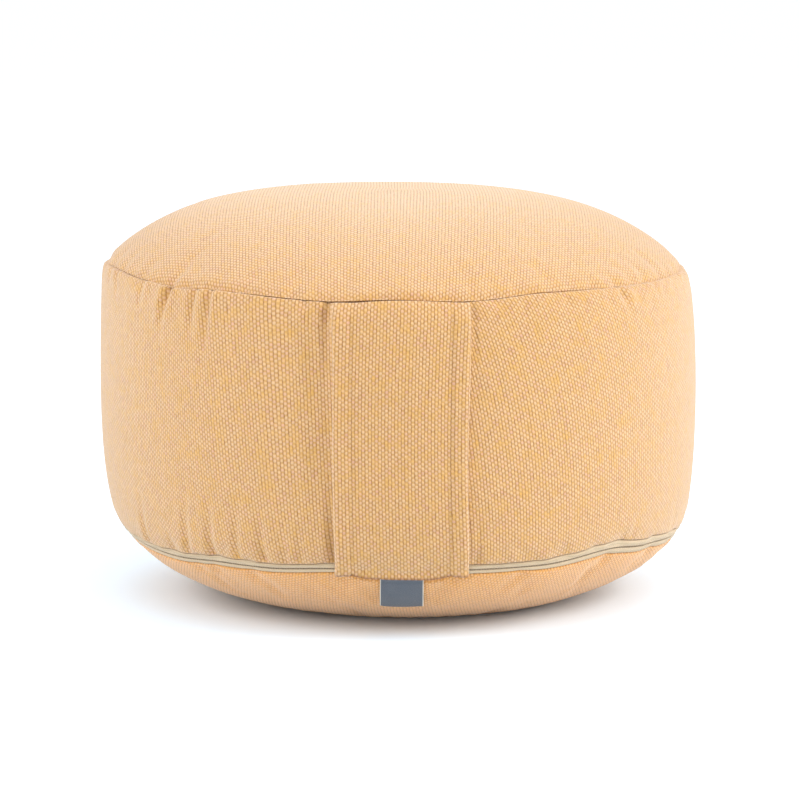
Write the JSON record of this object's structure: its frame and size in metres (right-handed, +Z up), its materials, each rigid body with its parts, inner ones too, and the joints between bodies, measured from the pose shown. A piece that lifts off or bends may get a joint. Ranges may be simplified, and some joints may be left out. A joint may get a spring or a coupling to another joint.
{
  "type": "meditation cushion",
  "caption": "Round drum-shaped floor cushion with a domed top, a vertical carry strap on the side, a zip round the base and a bare woven label.",
  "frame": {"origin": "on the cushion's axis, in the flat face that it rests on", "axes": "+Z up along the cushion's axis, -Y out of the side that carries the strap and the label"},
  "size_m": [0.3296, 0.3325, 0.2218],
  "materials": {
    "cover_cloth": "coarse plain weave in cream, apricot and ochre yarns, matt",
    "strap_cloth": "the cover's own coarse plain weave, doubled, with folded hems",
    "zip_tape": "fine woven cream polyester tape",
    "zip_coil": "closed nylon coil seen as a narrow line between the tapes",
    "zip_metal": "satin nickel slider and pull",
    "label_cloth": "fine woven grey ribbon, bare, with paler selvedges"
  },
  "bodies": {
    "root": {"cushion": "cover_cloth", "carry_strap": "strap_cloth", "zip_tape_upper": "zip_tape", "zip_tape_lower": "zip_tape", "zip_coil": "zip_coil", "zip_slider": "zip_metal", "zip_pull": "zip_metal", "woven_label": "label_cloth"}
  },
  "joints": []
}
